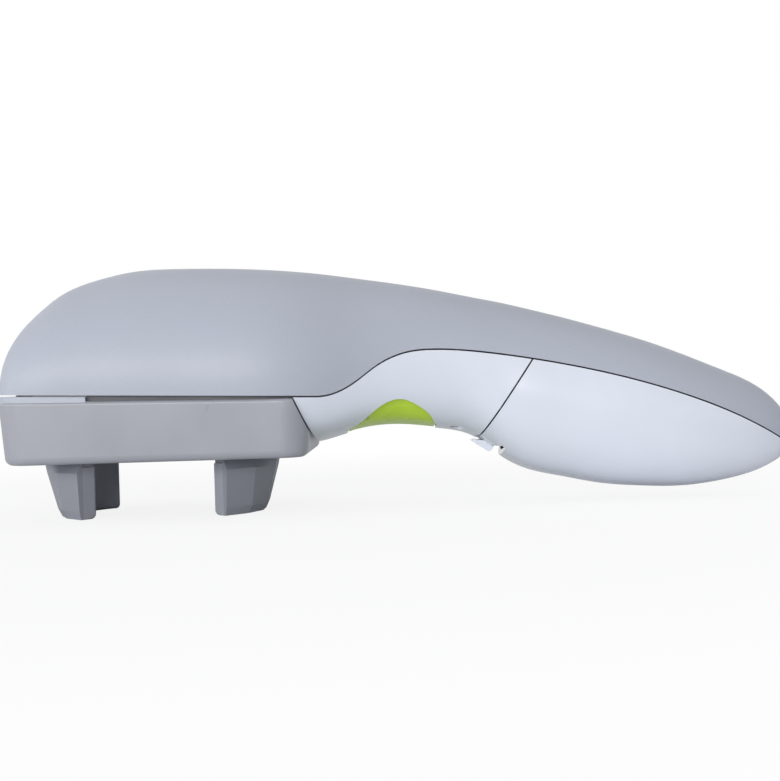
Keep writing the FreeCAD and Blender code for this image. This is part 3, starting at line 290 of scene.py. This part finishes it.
PLASTICS = {
    # slot: name, colour, gloss, drift, size and height of the grain in mm, coat
    "white_shell": ("white_gloss", (0.70, 0.735, 0.815), (0.14, 0.24), 0.015, 1.2, 0.006, 0.3),
    "grey_housing": ("grey_satin", (0.32, 0.33, 0.365), (0.26, 0.36), 0.03, 0.35, 0.010, 0.15),
    "jaw_plastic": ("jaw_grey", (0.26, 0.272, 0.31), (0.38, 0.50), 0.04, 0.35, 0.012),
    "grip_rubber": ("grip_rubber", (0.32, 0.333, 0.375), (0.55, 0.70), 0.05, 0.4, 0.02),
    "trigger_green": ("trigger_green", (0.54, 0.76, 0.045), (0.25, 0.36), 0.03, 0.6, 0.008),
    "inner_plastic": ("inner_plastic", (0.11, 0.11, 0.12), (0.45, 0.6), 0.06, 0.4, 0.012),
    "gear_plastic": ("gear_plastic", (0.66, 0.63, 0.54), (0.30, 0.42), 0.03, 0.6, 0.008),
    "switch_black": ("switch_black", (0.03, 0.03, 0.032), (0.35, 0.5), 0.08, 0.5, 0.01),
    "board_green": ("board_green", (0.03, 0.16, 0.07), (0.28, 0.4), 0.06, 0.8, 0.008),
    "felt": ("felt", (0.26, 0.24, 0.21), (0.85, 0.95), 0.10, 0.25, 0.08),
}
finishes = {slot: moulded(*values) for slot, values in PLASTICS.items()}
print("moulded finishes", len(finishes))

# %% [markdown]
# The upper shell is sprayed with a pearl paint: tiny bright flakes lie in a grey lilac coat. A very fine
# noise picks out the flakes, and a thin satin coat gives the light edge along the outline. Flakes could
# also be tilted mirrors, but at this distance a change of tone looks the same and has less grain.

# %% Pearl paint
PEARL = (0.42, 0.445, 0.515)
PEARL_FLAKE_MM = 0.22
PEARL_DRIFT_MM = 30
PEARL_CONTRAST = 0.035
PEARL_GLOSS = (0.46, 0.54)

pearl_paint, tree, shader = new_material("pearl_paint")
coordinates = tree.nodes.new("ShaderNodeTexCoord")
flakes = noise(tree, coordinates, PEARL_FLAKE_MM, 1)
broad = noise(tree, coordinates, PEARL_DRIFT_MM, 2)
two_tones(tree, shader, flakes, PEARL, 1 - PEARL_CONTRAST, 1 + PEARL_CONTRAST)
rough(tree, shader, broad, *PEARL_GLOSS)
surface_grain(tree, shader, flakes, 0.002)
shader.inputs["Coat Weight"].default_value = 0.12
shader.inputs["Coat Roughness"].default_value = 0.30
finishes["pearl_shell"] = pearl_paint
print("pearl flakes", PEARL_FLAKE_MM, "mm")

# %% [markdown]
# Metal pieces show fine lines from turning or rolling. A noise that is stretched along one direction
# makes the lines: it changes the roughness, and a little of the tone. The anisotropic setting would
# stretch the highlights alone and leave the surface plain.


# %% Metals
def metal(name, colour, roughness, stretch=(1, 1, 14)):
    """A metal with lines: stretch squeezes the noise most along the axis across them."""
    material, tree, shader = new_material(name)
    coordinates = tree.nodes.new("ShaderNodeTexCoord")
    mapping = tree.nodes.new("ShaderNodeMapping")
    mapping.inputs["Scale"].default_value = stretch
    tree.links.new(coordinates.outputs["Object"], mapping.inputs["Vector"])
    lines = tree.nodes.new("ShaderNodeTexNoise")
    lines.inputs["Scale"].default_value = 500
    lines.inputs["Detail"].default_value = 2
    tree.links.new(mapping.outputs["Vector"], lines.inputs["Vector"])
    two_tones(tree, shader, lines, colour, 0.93, 1.05)
    rough(tree, shader, lines, roughness - 0.06, roughness + 0.08)
    surface_grain(tree, shader, lines, 0.004)
    shader.inputs["Metallic"].default_value = 1.0
    return material


finishes["steel"] = metal("bright_steel", (0.62, 0.62, 0.63), 0.28)
finishes["motor_steel"] = metal("plated_steel", (0.55, 0.56, 0.57), 0.34)
finishes["brass"] = metal("brass", (0.80, 0.60, 0.28), 0.28)
finishes["contact_metal"] = metal("nickel_plate", (0.70, 0.68, 0.60), 0.25, (1, 14, 1))
finishes["cell_wrap"] = metal("cell_wrap", (0.36, 0.38, 0.42), 0.34, (14, 1, 1))
print("finishes", len(finishes))

# %% [markdown]
# Each solid of the frame names the slot of its material. Dressing all of them from that one list is
# surer than naming the pieces here a second time.

# %% Dress every solid with the finish of its slot
slots = {item["node"]: item["material_slot"] for item in frame["record"]["subparts"]}
for node, piece in frame["nodes"].items():
    piece.data.materials.clear()
    piece.data.materials.append(finishes[slots[node]])
print("dressed", len(frame["nodes"]), "solids")

# %% [markdown]
# A grip pad is a curved block of rubber with rounded corners, which its solid leaves sharp. It starts as
# the outline of its section, a rectangle whose lower inner corner is bevelled. The spin operator sweeps
# it round the spindle, and a last bevel rounds the edges of both ends. A Bevel modifier would round every
# edge alike, also the ones against the jaw.

# %% Grip pads
PAD_INNER = 26.0 * MM
PAD_OUTER = 30.95 * MM
PAD_TOP = 16.0 * MM
PAD_HALF_TURN = math.radians(46)
PAD_CORNER = 1.6 * MM
PAD_EDGE = 0.9 * MM
PAD_STEPS = 28
CENTRE = (0, 0, 0)
UP = (0, 0, 1)
SAME_POINT = 0.01 * MM


def linked_piece(name, mesh, finish):
    """An object for a finished bmesh, dressed in one finish."""
    bmesh.ops.remove_doubles(mesh, verts=mesh.verts, dist=SAME_POINT)
    bmesh.ops.recalc_face_normals(mesh, faces=mesh.faces)
    data = bpy.data.meshes.new(name)
    mesh.to_mesh(data)
    mesh.free()
    data.materials.append(finishes[finish])
    piece = bpy.data.objects.new(name, data)
    bpy.context.scene.collection.objects.link(piece)
    return piece


def bevel(mesh, items, size, segments, kind):
    """Round vertices or edges."""
    bmesh.ops.bevel(
        mesh, geom=items, offset=size, segments=segments, profile=0.5, affect=kind, material=-1
    )


def off_the_jaw(edge):
    """Whether an edge keeps clear of the pad's outer face, which lies against the jaw."""
    return max(math.hypot(*corner.co.xy) for corner in edge.verts) < PAD_OUTER - 0.5 * MM


def grip_pad(name, side):
    """side is -1 for the pad towards the nose and 1 for the other."""
    mesh = bmesh.new()
    section = [(PAD_INNER, 0), (PAD_OUTER, 0), (PAD_OUTER, PAD_TOP), (PAD_INNER, PAD_TOP)]
    corners = [mesh.verts.new((side * radius, 0, level)) for radius, level in section]
    mesh.faces.new(corners)
    bevel(mesh, [corners[0]], PAD_CORNER, 5, "VERTICES")
    to_start = Matrix.Rotation(-PAD_HALF_TURN, 3, "Z")
    bmesh.ops.rotate(mesh, verts=mesh.verts, cent=CENTRE, matrix=to_start)
    turn = 2 * PAD_HALF_TURN
    bmesh.ops.spin(mesh, geom=mesh.faces[:], cent=CENTRE, axis=UP, angle=turn, steps=PAD_STEPS)
    bmesh.ops.recalc_face_normals(mesh, faces=mesh.faces)
    ends = [face for face in mesh.faces if len(face.verts) > 4]
    inner = [edge for face in ends for edge in face.edges if off_the_jaw(edge)]
    bevel(mesh, inner, PAD_EDGE, 4, "EDGES")
    return linked_piece(name, mesh, "grip_rubber")


for node, body, side in (("left_pad", "left_jaw", -1), ("right_pad", "right_jaw", 1)):
    pad = grip_pad(node + "_moulded", side)
    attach(pad, body)
    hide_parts(node)
    print(pad.name, len(pad.data.polygons), "faces")

# %% [markdown]
# A rim stands on the nose end of the housing and fills the wedge under the upper shell. Its pale pearl
# finish is a painted highlight: it stands in for the light that the housing's rounded top edge catches
# there, and it ends where that edge falls into shade. It starts as a rectangle whose four corners are
# bevelled. An inset leaves a ring, the ring is extruded upwards, and two planes trim it: a tilted one
# level with the shell's edge, and one across the head. A Boolean could trim it too, but a plane cut is
# exact and needs no second object.

# %% Rim on the housing, pale as a painted highlight
RIM_MIDDLE = 3.2 * MM
RIM_HALF_LENGTH = 46.2 * MM
RIM_HALF_WIDTH = 40.1 * MM
RIM_CORNER = 8.0 * MM
RIM_WALL = 2.2 * MM
RIM_LOW = 35.2 * MM
RIM_RAISE = 5 * MM
RIM_END = -16.0 * MM
RIM_TOP = body_point(0, 0, -1.95)
RIM_UP = Matrix.Rotation(PITCH, 3, "Y") @ Vector(UP)


def picked(items, kind):
    """The vertices or the edges in what an operator returns."""
    return [item for item in items if isinstance(item, kind)]


def trim(mesh, point, normal):
    """Cut off what lies beyond a plane and close the cut."""
    everything = mesh.verts[:] + mesh.edges[:] + mesh.faces[:]
    cut = bmesh.ops.bisect_plane(
        mesh, geom=everything, dist=0.001 * MM, plane_co=point, plane_no=normal, clear_outer=True
    )
    bmesh.ops.holes_fill(mesh, edges=picked(cut["geom_cut"], bmesh.types.BMEdge), sides=0)


mesh = bmesh.new()
bmesh.ops.create_grid(mesh, x_segments=1, y_segments=1, size=1)
bmesh.ops.scale(mesh, vec=(RIM_HALF_LENGTH, RIM_HALF_WIDTH, 1), verts=mesh.verts)
bevel(mesh, mesh.verts[:], RIM_CORNER, 10, "VERTICES")
bmesh.ops.translate(mesh, vec=(RIM_MIDDLE, 0, RIM_LOW), verts=mesh.verts)
middle = mesh.faces[:]
bmesh.ops.inset_region(
    mesh, faces=middle, thickness=RIM_WALL, use_boundary=True, use_even_offset=True
)
bmesh.ops.delete(mesh, geom=middle, context="FACES")
raised = bmesh.ops.extrude_face_region(mesh, geom=mesh.faces[:])["geom"]
bmesh.ops.translate(mesh, vec=(0, 0, RIM_RAISE), verts=picked(raised, bmesh.types.BMVert))
trim(mesh, RIM_TOP, RIM_UP)
trim(mesh, (RIM_END, 0, 0), (1, 0, 0))
# Painted highlight: the pale pearl finish stands in for the light on the housing's rounded top edge.
rim = linked_piece("rim_painted_highlight", mesh, "pearl_shell")
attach(rim, "housing")
print("rim", len(rim.data.polygons), "faces")

# %% [markdown]
# Where the shells meet, a tongue inside the wall keeps light and dust out. Its near-black finish is
# painted shade: the parting line looks dark because the tongue is coloured dark in place of the shadow.
# It can be seen along the head and at the throat. It is drawn as a line in plan, extruded upwards and
# given a thickness. A curve with a bevel would be as quick, but its section would turn with the line.

# %% Tongue behind the parting line, dark as a painted shade
TONGUE_LINE = [
    (-17.0, 38.3), (24.0, 38.3), (36.0, 38.0), (42.0, 36.9),
    (46.5, 34.9), (50.0, 33.7), (56.0, 31.2), (62.0, 28.7),
]
TONGUE_LOW = -3.4
TONGUE_BEND = 50.0
TONGUE_SLOPE = 0.22
TONGUE_HEIGHT = 4.0 * MM
TONGUE_WALL = 0.7 * MM


def tongue_point(x, y):
    """A point of the tongue's lower edge, which climbs behind the bend."""
    return body_point(x, y, TONGUE_LOW + max(0.0, (x - TONGUE_BEND) * TONGUE_SLOPE))


mesh = bmesh.new()
for side in (-1, 1):
    row = [mesh.verts.new(tongue_point(x, side * y)) for x, y in TONGUE_LINE]
    edges = [mesh.edges.new(pair) for pair in zip(row, row[1:])]
    wall = bmesh.ops.extrude_edge_only(mesh, edges=edges)["geom"]
    bmesh.ops.translate(mesh, vec=(0, 0, TONGUE_HEIGHT), verts=picked(wall, bmesh.types.BMVert))
bmesh.ops.recalc_face_normals(mesh, faces=mesh.faces)
bmesh.ops.solidify(mesh, geom=mesh.faces[:], thickness=TONGUE_WALL)
# Painted shade: the tongue's near-black finish darkens the parting line in place of the shadow in the gap.
tongue = linked_piece("tongue_painted_shade", mesh, "inner_plastic")
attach(tongue, "housing")
print("tongue", len(tongue.data.polygons), "faces")
